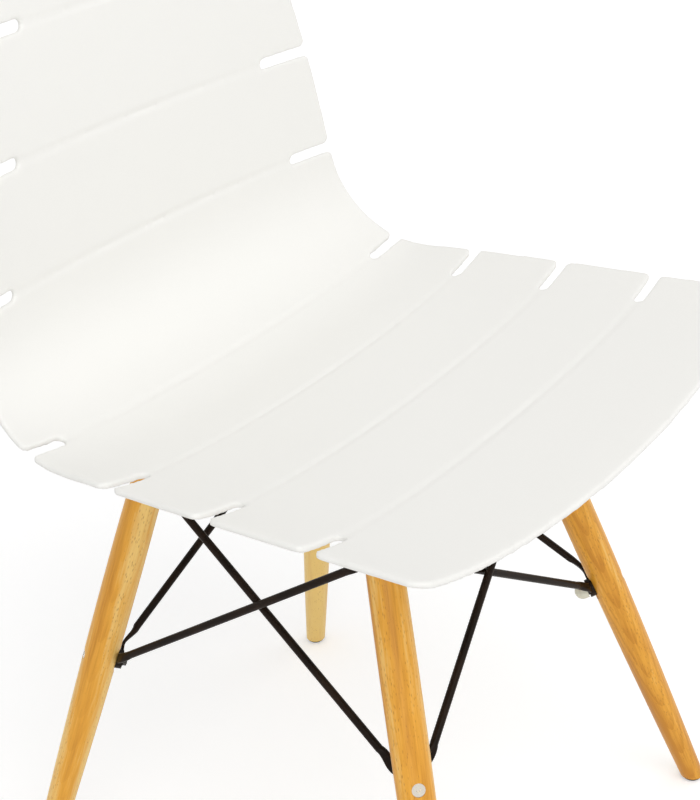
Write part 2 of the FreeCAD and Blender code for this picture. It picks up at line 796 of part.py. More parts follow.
def make_bracket(corner):
    """Pressed steel: a plate over the leg's top and a tab down its inner side."""
    name = "bracket_" + corner
    thickness = size("bracket_thickness")
    plate = drilled_plate(name + "_top", "dims.bracket_thickness")
    top = bracket_frame(corner)
    plate.Placement = shifted(top, z=-thickness)
    joint = joint_frame(corner, "upper", seat_level("upper"))
    tab = box(name + "_tab", joint, "dims.tab_width", "dims.bracket_thickness",
              "dims.joint_upper + 12")
    end = cylinder(name + "_tab_end", bolt_frame(corner, "upper", seat_level("upper")),
                   "dims.tab_width / 2", "dims.bracket_thickness")
    joined = combine("Part::MultiFuse", name + "_joined", [plate, tab, end])
    above = Placement(Vector(top.Base.x, top.Base.y - SLAB / 4, top.Base.z), Rotation())
    tools = [box(name + "_above", above, str(SLAB / 2), str(SLAB / 2), str(SLAB / 4)),
             cylinder(name + "_hole", bolt_frame(corner, "upper", 0.0),
                      "dims.bolt_radius + dims.bolt_clearance", str(SLAB / 8))]
    return keep(cut(name, joined, tools), name)


def make_spacer(corner):
    name = "spacer_" + corner
    body = drilled_plate(name, "dims.spacer_thickness")
    body.Placement = bracket_frame(corner)
    return keep(body, name)


# The fasteners

STRUTS_PER_JOINT = 2


def make_leg_bolts(which):
    """Countersunk bolts and washers of one level of joints; gives the nuts' places."""
    stack = STRUTS_PER_JOINT * size("lug_thickness")
    if which == "upper":
        stack += size("bracket_thickness")
    grip = head_level(which) + seat_level(which) + stack
    total = f"{grip:.4f} + dims.washer_thickness + dims.nut_height"
    bolt = turned(f"{which}_bolt", (
        ("dims.socket_radius", "0"),
        ("dims.head_radius", "0"),
        ("dims.head_radius", "dims.head_rim"),
        ("dims.bolt_radius", "dims.head_rim + dims.head_radius - dims.bolt_radius"),
        ("dims.bolt_radius", total),
        ("0", total),
        ("0", "dims.socket_depth"),
        ("dims.socket_radius", "dims.socket_depth")))
    washer = turned(f"{which}_washer", (
        ("dims.bolt_radius", "0"),
        ("dims.washer_radius", "0"),
        ("dims.washer_radius", "dims.washer_thickness"),
        ("dims.bolt_radius", "dims.washer_thickness")))
    doc.recompute()
    heads = [bolt_frame(corner, which, -head_level(which)) for corner in CORNERS]
    rings = {corner: bolt_frame(corner, which, seat_level(which) + stack) for corner in CORNERS}
    group_of(f"leg_bolts_{which}", bolt, heads)
    group_of(f"bolt_washers_{which}", washer, list(rings.values()))
    return {corner: shifted(place, z=size("washer_thickness")) for corner, place in rings.items()}


def hexagon_nut(name):
    hexagon = doc.addObject("Part::Prism", name)
    hexagon.Polygon = 6
    bind(hexagon, Circumradius="dims.nut_radius", Height="dims.nut_height")
    return hexagon


def bored(name, solid):
    """A nut with its bore, which the end of the bolt fills."""
    bore = cylinder(name + "_bore", Placement(), "dims.bolt_radius", "dims.nut_height")
    return cut(name, solid, [bore])


def make_nuts():
    """Cap nuts where the picture shows them, thin nuts behind, dome nuts on top."""
    lower = make_leg_bolts("lower")
    skirt = cylinder("cap_skirt", Placement(), "dims.cap_radius", "dims.cap_skirt")
    ball = doc.addObject("Part::Sphere", "cap_dome")
    ball.Angle1 = 0.0
    bind(ball, **{"Radius": "dims.cap_radius", "Placement.Base.z": "dims.cap_skirt"})
    cap = bored("cap_nut", combine("Part::MultiFuse", "cap_solid", [skirt, ball]))
    thin = bored("thin_nut", hexagon_nut("thin_hexagon"))
    upper = make_leg_bolts("upper")
    dome = turned("nut_dome", (
        ("0", "dims.nut_height * 0.5"),
        ("dims.dome_radius", "dims.nut_height * 0.5"),
        ("dims.dome_radius", "dims.nut_height + dims.dome_radius * 0.25"),
        ("dims.dome_radius * 0.88", "dims.nut_height + dims.dome_radius * 0.6"),
        ("dims.dome_radius * 0.5", "dims.nut_height + dims.dome_radius * 0.88"),
        ("0", "dims.nut_height + dims.dome_radius")))
    domed = bored("dome_nut", combine("Part::MultiFuse", "dome_solid",
                                      [hexagon_nut("dome_hexagon"), dome]))
    doc.recompute()
    group_of("dome_nuts_lower", cap, [lower["front_right"], lower["front_left"]])
    group_of("thin_nuts_lower", thin, [lower["rear_right"], lower["rear_left"]])
    group_of("dome_nuts_upper", domed, list(upper.values()))


def screw_frames():
    low = size("boss_bottom") - size("spacer_thickness") - size("bracket_thickness")
    places = []
    for corner in CORNERS:
        plate = bracket_frame(corner)
        for side in (-1, 1):
            point = plate.multVec(Vector(side * size("screw_spacing"), 0, 0))
            places.append(Placement(Vector(point.x, point.y, low), Rotation()))
    return places


def make_bracket_screws():
    screw = turned("bracket_screw", (
        ("0", "0"),
        ("dims.screw_head_radius * 0.8", "0"),
        ("dims.screw_head_radius", "dims.screw_head_height * 0.6"),
        ("dims.screw_head_radius", "dims.screw_head_height"),
        ("dims.screw_radius", "dims.screw_head_height"),
        ("dims.screw_radius", "dims.screw_head_height + dims.screw_length"),
        ("0", "dims.screw_head_height + dims.screw_length")))
    doc.recompute()
    places = [shifted(place, z=-size("screw_head_height")) for place in screw_frames()]
    group_of("bracket_screws", screw, places)


def make_glides():
    """Plastic glides with a sunk nail each."""
    nail = turned("glide_nail", (
        ("0", "0"),
        ("dims.nail_head_radius", "0"),
        ("dims.nail_radius", "dims.nail_head_radius - dims.nail_radius"),
        ("dims.nail_radius", "dims.nail_length"),
        ("0", "dims.nail_length")))
    sink = 0.6
    places = []
    for corner in CORNERS:
        name = "foot_glide_" + corner
        centre = nail_frame(corner)
        floor = Placement(Vector(centre.Base.x, centre.Base.y, 0), Rotation())
        disc = turned(name + "_disc", (
            ("0", "0"),
            ("dims.glide_radius - 0.8", "0"),
            ("dims.glide_radius", "0.8"),
            ("dims.glide_radius", "dims.glide_height"),
            ("0", "dims.glide_height")))
        disc.Placement = floor
        sunk = shifted(floor, z=sink)
        places.append(sunk)
        mouth = cylinder(name + "_mouth", floor, "dims.nail_head_radius", str(sink))
        seat = doc.addObject("Part::Cone", name + "_seat")
        bind(seat, Radius1="dims.nail_head_radius", Radius2="dims.nail_radius",
             Height="dims.nail_head_radius - dims.nail_radius")
        seat.Placement = sunk
        bore = cylinder(name + "_bore", floor, "dims.nail_radius", "dims.glide_height")
        keep(cut(name, disc, [mouth, seat, bore]), name)
    doc.recompute()
    group_of("glide_nails", nail, places)


# The shell

def make_shell():
    slots = list(zip(slot_distances(), slot_roots()))
    blank = doc.addObject("Part::Feature", "shell_blank")
    blank.Shape = shell_blank()
    bosses = doc.addObject("Part::Feature", "shell_bosses")
    solids = []
    low = size("boss_bottom")
    tall = 60.0
    rib = size("rib_thickness")
    spacing = size("screw_spacing")
    ribs = ((0.0, 2 * spacing, rib),
            (-spacing, rib, size("bracket_width") - 4.0),
            (spacing, rib, size("bracket_width") - 4.0))
    for place in screw_frames():
        base = Vector(place.Base.x, place.Base.y, low)
        solids.append(Part.makeCylinder(size("boss_radius"), tall, base))
    for corner in CORNERS:
        plate = shifted(bracket_frame(corner), z=size("spacer_thickness"))
        for middle, length, width in ribs:
            wall = Part.makeBox(length, width, tall)
            wall.Placement = shifted(plate, middle - length / 2, -width / 2)
            solids.append(wall)
    raw = solids[0].multiFuse(solids[1:])
    bosses.Shape = raw.common(under_seat(70.0))
    body = combine("Part::MultiFuse", "shell_body", [blank, bosses])
    cutters = doc.addObject("Part::Feature", "shell_cutters")
    tools = [slot_cutter(distance, root, side) for distance, root in slots for side in (-1, 1)]
    tools += [groove_cutter(distance, root) for distance, root in slots]
    tools.append(end_trim(0.0, size("front_bow"), size("front_corner"), 0.0, -1))
    tools.append(end_trim(shell_length(), size("top_bow"), size("top_corner"),
                          size("taper_slope"), 1))
    cutters.Shape = Part.makeCompound(tools)
    holes = [cylinder(f"boss_hole_{number}", place, "dims.screw_radius", "dims.screw_length")
             for number, place in enumerate(screw_frames(), start=1)]
    return keep(cut("seat_shell", body, [cutters] + holes), "seat_shell")


def check_and_write():
    doc.recompute()
    failed = [item.Name for item in doc.Objects
              if "Invalid" in item.State or "Error" in item.State]
    if failed:
        raise RuntimeError(f"not built: {failed}")
    os.makedirs("parts", exist_ok=True)
    for item in sub_parts:
        shape = item.Shape
        if shape.isNull() or not shape.isValid():
            raise RuntimeError(f"bad shape: {item.Label}")
        print(item.Label, len(shape.Solids), round(shape.Volume / 1000, 2), "cm3",
              len(shape.Faces), "faces")
        shape.exportStep(f"parts/{item.Label}.step")
    box_all = FreeCAD.BoundBox()
    for item in sub_parts:
        box_all.add(item.Shape.BoundBox)
    print(box_all)


make_shell()
for corner_name in CORNERS:
    make_leg(corner_name)
    make_bracket(corner_name)
    make_spacer(corner_name)
make_struts()
make_nuts()
make_bracket_screws()
make_glides()
check_and_write()
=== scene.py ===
"""Looks of a moulded shell chair on four turned beech legs with crossed steel struts.

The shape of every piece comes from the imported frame. The shell alone is reshaped a little: its rims are
rounded and its broad grooves are pressed in. Each piece then gets the finish that the real one has, and the
floor, the lamps and the camera are added. Lengths are in metres unless a name or a comment says mm.
"""

import math

import bpy
from mathutils import Matrix, Vector


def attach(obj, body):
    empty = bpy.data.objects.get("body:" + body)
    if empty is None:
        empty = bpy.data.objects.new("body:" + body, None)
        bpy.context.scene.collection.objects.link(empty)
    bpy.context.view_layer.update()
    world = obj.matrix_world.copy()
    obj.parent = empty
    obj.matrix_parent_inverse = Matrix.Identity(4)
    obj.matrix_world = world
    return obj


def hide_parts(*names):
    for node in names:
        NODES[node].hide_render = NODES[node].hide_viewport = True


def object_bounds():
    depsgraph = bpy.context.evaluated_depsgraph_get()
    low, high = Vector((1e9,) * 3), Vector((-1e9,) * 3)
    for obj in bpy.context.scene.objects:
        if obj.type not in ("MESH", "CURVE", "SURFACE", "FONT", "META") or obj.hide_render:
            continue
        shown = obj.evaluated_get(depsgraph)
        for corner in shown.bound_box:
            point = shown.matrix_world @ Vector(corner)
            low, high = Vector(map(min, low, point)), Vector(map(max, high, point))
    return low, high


bl_info = {
    "name": "Moulded Shell Chair",
    "version": (1, 0, 0),
    "blender": (4, 5, 0),
    "location": "3D View > Sidebar > Shell Chair",
    "description": "Gives a moulded shell chair its finishes, its stage and its camera",
    "category": "Object",
}

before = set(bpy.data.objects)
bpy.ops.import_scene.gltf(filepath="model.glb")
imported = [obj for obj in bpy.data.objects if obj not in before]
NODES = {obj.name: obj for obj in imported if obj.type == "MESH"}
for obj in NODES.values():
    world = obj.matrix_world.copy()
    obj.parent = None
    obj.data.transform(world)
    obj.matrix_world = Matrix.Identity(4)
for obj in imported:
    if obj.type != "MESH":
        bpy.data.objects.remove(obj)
CAD_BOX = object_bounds()

MM = 0.001
CORNERS = ("rear_right", "front_right", "front_left", "rear_left")
STRUTS = tuple(name for name in sorted(NODES) if name.startswith("strut_"))
BLACK_FASTENERS = ("bolt_washers_lower", "bolt_washers_upper", "thin_nuts_lower")
NICKEL_FASTENERS = (
    "leg_bolts_lower", "leg_bolts_upper", "dome_nuts_upper", "bracket_screws", "glide_nails")

# The broad grooves in the sitter's side, each from one slot to its partner across the shell. For each: how
# far its middle lies from the origin towards the back and above the floor, both in mm, the slope of the shell
# there in degrees, and half the distance between the two slots in mm.
GROOVES = (
    (-129.4, 428.0, -1.5, 198.0),
    (-48.3, 425.9, -1.5, 192.9),
    (32.9, 423.8, -1.5, 190.7),
    (116.5, 428.8, 21.01, 187.0),
    (177.6, 525.2, 90.0, 158.7),
    (177.6, 612.2, 89.51, 133.6),
    (182.2, 699.0, 84.44, 106.0),
)
# The dish raises no point of the sitter's side by more than this over the middle of its groove.
DISH_RISE = 30 * MM
# A point is on the sitter's side where its normal leans less than 60 degrees from the one in the middle.
SITTERS_SIDE = math.cos(math.radians(60))

# No two legs come from the same plank. For each: how far its wood is from the middle tone towards pale, how
# deep its rings show, and on which side of the leg, in radians, the heart of the tree lay.
PLANKS = {
    "rear_right": (0.19, 0.04, 2.8),
    "front_right": (0.04, 0.04, 1.0),
    "front_left": (-0.02, 0.1, -0.05),
    "rear_left": (0.28, 0.05, 1.45),
}
# About the radius of a leg at its thickest, and how far the wood's tone swings on each side of its middle.
LEG_RADIUS = 13 * MM
TONE_SWING = 0.16
# The phase of Blender's wave texture at scale 1 grows by so many radians with each metre.
WAVE_PHASE = 20

# Each lamp's name, the setting that holds its power, its place and its width.
LAMPS = (
    ("key_lamp", "key_power", (-0.7, -1.5, 2.5), 2.4),
    ("fill_lamp", "fill_power", (1.9, -0.9, 1.4), 1.6),
    ("low_lamp", "low_power", (-2.0, -1.3, 0.9), 1.6),
)
FLOOR_REACH = 60.0
FILM_WIDTH_MM = 36.0
PICTURE_HEIGHT = 800


def linear(hex_colour):
    """Turn an sRGB hex colour into the linear red, green, blue and alpha that shaders work in."""
    channels = [int(hex_colour[i:i + 2], 16) / 255 for i in (1, 3, 5)]
    return [c / 12.92 if c <= 0.04045 else ((c + 0.055) / 1.055) ** 2.4 for c in channels] + [1.0]


def mean_point(points):
    """The middle of a list of points."""
    return sum((Vector(p) for p in points), Vector()) / len(points)


def soft_step(value, low, high):
    """Rise smoothly from 0 to 1 while the value goes from low to high."""
    share = min(max((value - low) / (high - low), 0.0), 1.0)
    return share * share * (3 - 2 * share)


def add_node(tree, kind, settings=None, inputs=None):
    """Add one node with its settings; each input takes a value, or the socket that feeds it."""
    node = tree.nodes.new(kind)
    for name, value in (settings or {}).items():
        setattr(node, name, value)
    for socket, value in (inputs or {}).items():
        if isinstance(value, bpy.types.NodeSocket):
            tree.links.new(value, node.inputs[socket])
        else:
            node.inputs[socket].default_value = value
    return node


def object_place(tree):
    """Where a point lies from the frame's origin."""
    return add_node(tree, "ShaderNodeTexCoord").outputs["Object"]


def noise(tree, place, width, detail=2.0, roughness=0.5):
    """A soft random pattern from 0 to 1, with lumps of a real width."""
    return add_node(tree, "ShaderNodeTexNoise", inputs={
        "Vector": place, "Scale": 1 / width, "Detail": detail, "Roughness": roughness}).outputs["Fac"]


def spread(tree, value, start, end, low=0.0, high=1.0, interpolation="LINEAR"):
    """Turn a value that runs from low to high into one that runs from start to end."""
    return add_node(tree, "ShaderNodeMapRange", {"interpolation_type": interpolation}, {
        "Value": value, "From Min": low, "From Max": high,
        "To Min": start, "To Max": end}).outputs["Result"]


def calculate(tree, operation, *values):
    """The result of one sum, each value a number or a socket."""
    inputs = dict(enumerate(values))
    return add_node(tree, "ShaderNodeMath", {"operation": operation}, inputs).outputs["Value"]


def stretched(tree, place, along, start=(0, 0, 0)):
    """Shift the place of a pattern and squeeze it along Z, which draws the pattern out that way."""
    return add_node(tree, "ShaderNodeMapping", inputs={
        "Vector": place, "Location": start, "Scale": (1.0, 1.0, along)}).outputs["Vector"]


def fine_relief(tree, height, strength, depth):
    """The normal of a surface that a pattern raises by up to a real depth."""
    return add_node(tree, "ShaderNodeBump", inputs={
        "Height": height, "Strength": strength, "Distance": depth}).outputs["Normal"]


def colour_ramp(tree, factor, stops):
    """Spread the factor over a row of colour stops, each a place from 0 to 1 and a hex colour."""
    ramp = add_node(tree, "ShaderNodeValToRGB", inputs={"Fac": factor})
    elements = ramp.color_ramp.elements
    while len(elements) < len(stops):
        elements.new(0.5)
    for element, (place, colour) in zip(elements, stops):
        element.position = place
        element.color = linear(colour)
    return ramp.outputs["Color"]


def seen_directly(tree):
    """One where a ray comes from the camera, a mirror or glass, and nought for light that scatters."""
    rays = add_node(tree, "ShaderNodeLightPath").outputs
    mirrored = calculate(tree, "MAXIMUM", rays["Is Glossy Ray"], rays["Is Transmission Ray"])
    return calculate(tree, "MAXIMUM", rays["Is Camera Ray"], mirrored)


def new_material(name):
    """Start a material and hand back its emptied node tree."""
    material = bpy.data.materials.new(name)
    material.use_nodes = True
    material.node_tree.nodes.clear()
    return material, material.node_tree


def finish_surface(tree, shader):
    """Join the shader to the material's output."""
    add_node(tree, "ShaderNodeOutputMaterial", inputs={"Surface": shader.outputs[0]})


def principled(tree, inputs):
    """Finish the surface with a Principled shader."""
    finish_surface(tree, add_node(tree, "ShaderNodeBsdfPrincipled", inputs=inputs))


def dress(node_name, material):
    """Give a node of the frame its finish."""
    node = NODES[node_name]
    node.data.materials.clear()
    node.data.materials.append(material)


def moulded_polypropylene(look):
    """Injection-moulded polypropylene from a spark-eroded tool: matt, a little waxy, finely grained, with
    painted shade in the hollows of the grain.
    """
    material, tree = new_material("moulded_polypropylene")
    # Drawn at 0.6 mm, about three times as coarse as the real sparked grain, so that it still shows.
    grain = noise(tree, object_place(tree), 0.6 * MM, roughness=0.6)
    # The slightly deeper white where the grain sinks is painted shade in its hollows; the same grain raises
    # the bump.
    principled(tree, {
        "Base Color": colour_ramp(tree, grain, ((0.35, look.shell_hollow_painted_shade), (0.65, look.shell_colour))),
        "Roughness": spread(tree, grain, 0.36, 0.46), "IOR": 1.49,
        "Normal": fine_relief(tree, grain, 0.12, 0.05 * MM)})
    return material


def lacquered_beech(look, corner, number):
    """Turned beech under clear satin lacquer: faint growth rings, many short dark flecks, a soft gloss."""
    paleness, ring_depth, heart_side = PLANKS[corner]
    material, tree = new_material("lacquered_beech_" + corner)
    along = along_the_leg(tree, NODES["leg_" + corner].data)
    rings = growth_rings(tree, look, along, heart_side)
    # The wood deepens towards the heart of the tree and pales towards the bark.
    towards_heart = add_node(tree, "ShaderNodeVectorMath", {"operation": "DOT_PRODUCT"}, {
        0: along, 1: (math.cos(heart_side), math.sin(heart_side), 0)}).outputs["Value"]
    sapwood = spread(tree, towards_heart, paleness + TONE_SWING, paleness - TONE_SWING,
                     low=-LEG_RADIUS, high=LEG_RADIUS)
    late_wood = spread(tree, rings, 0.0, -ring_depth, low=0.45, high=0.95, interpolation="SMOOTHSTEP")
    # Bands of deeper and paler wood 14 mm across, and fine fibre 1.5 mm across, both 20 times as long.
    lengthwise = stretched(tree, along, 0.05, start=(number, 0, 0))
    band = noise(tree, lengthwise, 14 * MM)
    fibre = noise(tree, lengthwise, 1.5 * MM, detail=3.0, roughness=0.55)
    figure = calculate(tree, "MULTIPLY_ADD", fibre, 0.4, band)
    pattern = calculate(tree, "ADD", calculate(tree, "ADD", figure, late_wood), sapwood)
    wood = colour_ramp(tree, pattern, (
        (0.42, look.beech_dark), (0.66, look.beech_colour),
        (0.84, look.beech_light), (1.0, look.beech_pale)))
    # Sockets 6 and 7 of a mix node take its two colours, and output 2 gives the mixed one.
    flecked = add_node(tree, "ShaderNodeMix", {"data_type": "RGBA"}, {
        "Factor": beech_flecks(tree, along, band, number), 6: wood, 7: linear(look.beech_fleck)}).outputs[2]
    principled(tree, {
        "Base Color": flecked, "Roughness": 0.55, "IOR": 1.45, "Specular IOR Level": 0.25,
        "Coat Weight": 0.4, "Coat Roughness": 0.32, "Normal": fine_relief(tree, fibre, 0.1, 0.1 * MM)})
    return material


def along_the_leg(tree, mesh):
    """Places measured from the middle of a leg's foot, with Z along the leg."""
    heights = [v.co.z for v in mesh.vertices]
    top = mean_point([v.co for v in mesh.vertices if v.co.z > max(heights) - MM])
    foot = mean_point([v.co for v in mesh.vertices if v.co.z < min(heights) + MM])
    turn = (top - foot).to_track_quat("Z", "Y").to_euler()
    return add_node(tree, "ShaderNodeMapping", {"vector_type": "TEXTURE"}, {
        "Vector": object_place(tree), "Location": foot, "Rotation": turn}).outputs["Vector"]


def growth_rings(tree, look, along, heart_side):
    """Year rings about a heart that leans from the leg's line, which makes long arches of them."""
    side_x, side_y = math.cos(heart_side), math.sin(heart_side)
    heart = add_node(tree, "ShaderNodeMapping", {"vector_type": "TEXTURE"}, {
        "Vector": along, "Location": (look.heart_offset * side_x, look.heart_offset * side_y, 0),
        "Rotation": (look.heart_lean * side_y, -look.heart_lean * side_x, 0), "Scale": (1.0, 1.0, 6.0)})
    return add_node(tree, "ShaderNodeTexWave", {
        "wave_type": "RINGS", "rings_direction": "Z", "wave_profile": "SAW"}, {
        "Vector": heart.outputs["Vector"], "Scale": 2 * math.pi / (WAVE_PHASE * look.ring_spacing),
        "Distortion": 5.0, "Detail": 2.0, "Detail Scale": 0.3, "Detail Roughness": 0.5}).outputs["Fac"]


def beech_flecks(tree, along, band, number):
    """Medullary flecks, the mark of beech: dark dashes 0.6 mm wide and 2.4 mm long, crowded in places."""
    dashes = stretched(tree, along, 0.25, start=(0, number, 0))
    fleck = add_node(tree, "ShaderNodeTexVoronoi", inputs={
        "Vector": dashes, "Scale": 1 / (1.3 * MM), "Randomness": 1.0}).outputs["Distance"]
    crowd = spread(tree, band, 0.12, 0.36, low=0.4, high=0.58)
    return spread(tree, fleck, 0.85, 0.0, high=crowd)


def powder_coated_steel(look):
    """Steel rod under black-brown powder coat: satin, with the slight orange peel of baked powder."""
    material, tree = new_material("powder_coated_steel")
    place = object_place(tree)
    peel = noise(tree, place, 1.2 * MM, detail=1.0)
    wear = noise(tree, place, 25 * MM, detail=3.0)
    principled(tree, {
        "Base Color": colour_ramp(tree, wear, ((0.35, look.coat_dark), (0.65, look.coat_colour))),
        "Roughness": 0.36, "IOR": 1.5, "Specular IOR Level": 0.1,
        "Normal": fine_relief(tree, peel, 0.25, 0.05 * MM)})
    return material


def blackened_steel(look):
    """Washers and thin nuts in black zinc: a thin dark metal skin, shinier where a tool has turned it."""
    material, tree = new_material("black_zinc_steel")
    haze = noise(tree, object_place(tree), 2 * MM)
    principled(tree, {
        "Base Color": linear(look.fastener_black), "Metallic": 0.8,
        "Roughness": spread(tree, haze, 0.28, 0.46)})
    return material


def nickel_plate(look):
    """Bright nickel on bolts, screws and nails: warm silver, smooth, clouded by faint handling marks."""
    material, tree = new_material("nickel_plated_steel")
    haze = noise(tree, object_place(tree), 3 * MM, detail=3.0)
    principled(tree, {
        "Base Color": linear(look.nickel_colour), "Metallic": 1.0,
        "Roughness": spread(tree, haze, 0.14, 0.3)})
    return material


def dull_plastic(name, colour, roughness):
    """Plain moulded plastic or rubber with a fine matt grain that scatters what little gloss it has."""
    material, tree = new_material(name)
    grain = noise(tree, object_place(tree), 0.5 * MM)
    principled(tree, {
        "Base Color": linear(colour), "Roughness": roughness, "IOR": 1.5,
        "Normal": fine_relief(tree, grain, 0.2, 0.05 * MM)})
    return material


def press_grooves(mesh, look):
    """Press each groove into the sitter's side, flat in the middle with soft banks, up to its two slots."""
    bank, reach = look.groove_bank, look.groove_width / 2
    moves = []
    for y, z, slope, root in GROOVES:
        turn = math.radians(slope)
        along = Vector((0, math.cos(turn), math.sin(turn)))
        upward = Vector((0, -math.sin(turn), math.cos(turn)))
        middle = Vector((0, y * MM, z * MM))
        for vertex in mesh.vertices:
            way = vertex.co - middle
            beside = abs(way.dot(along))
            if beside > reach or abs(way.x) > root * MM or abs(way.dot(upward)) > DISH_RISE:
                continue
            if vertex.normal.dot(upward) < SITTERS_SIDE:
                continue
            depth = look.groove_depth * (1 - soft_step(beside, reach - bank, reach))
            moves.append((vertex, upward * -depth))
    for vertex, move in moves:
        vertex.co += move


class ChairFinishes(bpy.types.PropertyGroup):
    """The colours, and the sizes of rims, grooves and grain, that a user would change."""

    shell_colour: bpy.props.StringProperty(
        name="Shell", description="Warm white of the moulded shell, as an sRGB hex colour",
        default="#F1F0EC")
    # Painted shade: this deeper white is put where the grain of the shell sinks, in its hollows.
    shell_hollow_painted_shade: bpy.props.StringProperty(
        name="Shell grain", description="The slightly deeper white in the hollows of the grain",
        default="#EFEEEA")
    skin_square: bpy.props.FloatProperty(
        name="Skin square", description="Side of the small squares that make up the shell's skin",
        default=1.5 * MM, unit="LENGTH")
    easing_steps: bpy.props.IntProperty(
        name="Easing steps", description="How often the skin is eased; ten round the rims to about 2 mm",
        default=10)
    groove_width: bpy.props.FloatProperty(
        name="Groove width", description="Width of the pressed grooves over their banks", default=9.0 * MM,
        unit="LENGTH")
    groove_bank: bpy.props.FloatProperty(
        name="Groove bank", description="Width of the soft bank on each side of a groove", default=3.0 * MM,
        unit="LENGTH")
    groove_depth: bpy.props.FloatProperty(
        name="Groove depth", description="Depth of the pressed grooves", default=0.35 * MM, unit="LENGTH")
    beech_colour: bpy.props.StringProperty(
        name="Beech", description="Main colour of the lacquered legs", default="#EBA838")
    beech_light: bpy.props.StringProperty(
        name="Beech early wood", description="Pale wood between the rings", default="#F5C974")
    beech_dark: bpy.props.StringProperty(
        name="Beech late wood", description="Darkest streaks of the legs", default="#CC8720")
    beech_pale: bpy.props.StringProperty(
        name="Beech sapwood", description="Palest wood, towards the bark", default="#FFD880")
    beech_fleck: bpy.props.StringProperty(
        name="Beech fleck", description="Short dark dashes along the grain", default="#A86420")
    ring_spacing: bpy.props.FloatProperty(
        name="Ring spacing", description="Width of one year's growth", default=3.6 * MM, unit="LENGTH")
    heart_offset: bpy.props.FloatProperty(
        name="Heart offset", description="How far from a leg's middle the heart of the tree lay",
        default=60 * MM, unit="LENGTH")
    heart_lean: bpy.props.FloatProperty(
        name="Heart lean", description="How far the heart of the tree leaned from a leg's own line",
        default=math.radians(5), unit="ROTATION")
    coat_colour: bpy.props.StringProperty(
        name="Powder coat", description="Black-brown of the struts and brackets", default="#261A11")
    coat_dark: bpy.props.StringProperty(
        name="Powder coat shade", description="Deeper shade in the powder coat", default="#170F09")
    fastener_black: bpy.props.StringProperty(
        name="Black zinc", description="Washers and thin nuts", default="#3A3632")
    nickel_colour: bpy.props.StringProperty(
        name="Nickel", description="Bolts, screws, dome nuts and nails", default="#CFC8BC")
    cap_colour: bpy.props.StringProperty(
        name="Caps", description="Cream caps on the lower bolts of the front legs", default="#DFDCC9")
    rubber_colour: bpy.props.StringProperty(
        name="Rubber", description="Spacers between the seat and its brackets", default="#1D1C1B")
    glide_colour: bpy.props.StringProperty(
        name="Glide", description="Nylon glides under the feet", default="#26241F")


class ChairStage(bpy.types.PropertyGroup):
    """Where the camera stands, and how strong the lamps are."""

    camera_place: bpy.props.FloatVectorProperty(
        name="Camera", description="Where the lens stands", default=(-0.82923, -0.61326, 0.93007),
        unit="LENGTH")
    camera_azimuth: bpy.props.FloatProperty(
        name="Azimuth", description="Turn of the camera about the vertical", default=math.radians(-53.22),
        unit="ROTATION")
    camera_elevation: bpy.props.FloatProperty(
        name="Elevation", description="How far the camera looks down", default=math.radians(26.62),
        unit="ROTATION")
    camera_roll: bpy.props.FloatProperty(
        name="Roll", description="Tilt of the picture", default=math.radians(-3.98), unit="ROTATION")
    camera_focal_pixels: bpy.props.FloatProperty(
        name="Focal length", description="Focal length in pixels of the 700 by 800 picture",
        default=1564.55)
    sky_light: bpy.props.FloatProperty(
        name="Room light", description="Even light from all sides", default=0.62)
    key_power: bpy.props.FloatProperty(
        name="Key lamp", description="Power of the large lamp above the chair", default=26.0, unit="POWER")
    fill_power: bpy.props.FloatProperty(
        name="Fill lamp", description="Power of the lamp on the camera's right", default=6.0, unit="POWER")
    low_power: bpy.props.FloatProperty(
        name="Low lamp", description="Power of the lamp that looks under the seat", default=9.5,
        unit="POWER")


class CHAIR_OT_seat_shell(bpy.types.Operator):
    """Round the rims of the moulded shell, press in its broad grooves and give it its finish"""

    bl_idname = "chair.seat_shell"
    bl_label = "Seat Shell"

    def execute(self, context):
        look = context.scene.chair_finishes
        shell = bpy.data.objects.new("moulded_shell", NODES["seat_shell"].data.copy())
        context.scene.collection.objects.link(shell)
        # An even skin of small squares first, so that the same easing rounds every rim alike.
        skin = shell.modifiers.new("even_skin", "REMESH")
        skin.mode = "VOXEL"
        skin.voxel_size = look.skin_square
        skin.use_smooth_shade = True
        easing = shell.modifiers.new("eased_rims", "SMOOTH")
        easing.factor = 0.5
        easing.iterations = look.easing_steps
        eased = shell.evaluated_get(context.evaluated_depsgraph_get())
        rounded = bpy.data.meshes.new_from_object(eased)
        if not rounded.polygons:
            raise RuntimeError("the shell's skin came out empty")
        shell.modifiers.clear()
        press_grooves(rounded, look)
        shell.data = rounded
        rounded.materials.clear()
        rounded.materials.append(moulded_polypropylene(look))
        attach(shell, "root")
        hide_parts("seat_shell")
        return {"FINISHED"}


class CHAIR_OT_legs(bpy.types.Operator):
    """Give each turned leg its own piece of beech"""

    bl_idname = "chair.legs"
    bl_label = "Beech Legs"

    def execute(self, context):
        for number, corner in enumerate(CORNERS):
            dress("leg_" + corner, lacquered_beech(context.scene.chair_finishes, corner, number))
        return {"FINISHED"}


class CHAIR_OT_struts(bpy.types.Operator):
    """Powder-coat the crossed struts and the brackets under the seat"""

    bl_idname = "chair.struts"
    bl_label = "Struts and Brackets"

    def execute(self, context):
        coat = powder_coated_steel(context.scene.chair_finishes)
        for name in STRUTS + tuple("bracket_" + corner for corner in CORNERS):
            dress(name, coat)
        return {"FINISHED"}


class CHAIR_OT_fasteners(bpy.types.Operator):
    """Plate the bolts and screws, blacken the washers and thin nuts, and colour the round caps"""

    bl_idname = "chair.fasteners"
    bl_label = "Fasteners"

    def execute(self, context):
        look = context.scene.chair_finishes
        black = blackened_steel(look)
        nickel = nickel_plate(look)
        for name in BLACK_FASTENERS:
            dress(name, black)
        for name in NICKEL_FASTENERS:
            dress(name, nickel)
        dress("dome_nuts_lower", dull_plastic("moulded_cap_plastic", look.cap_colour, 0.35))
        return {"FINISHED"}


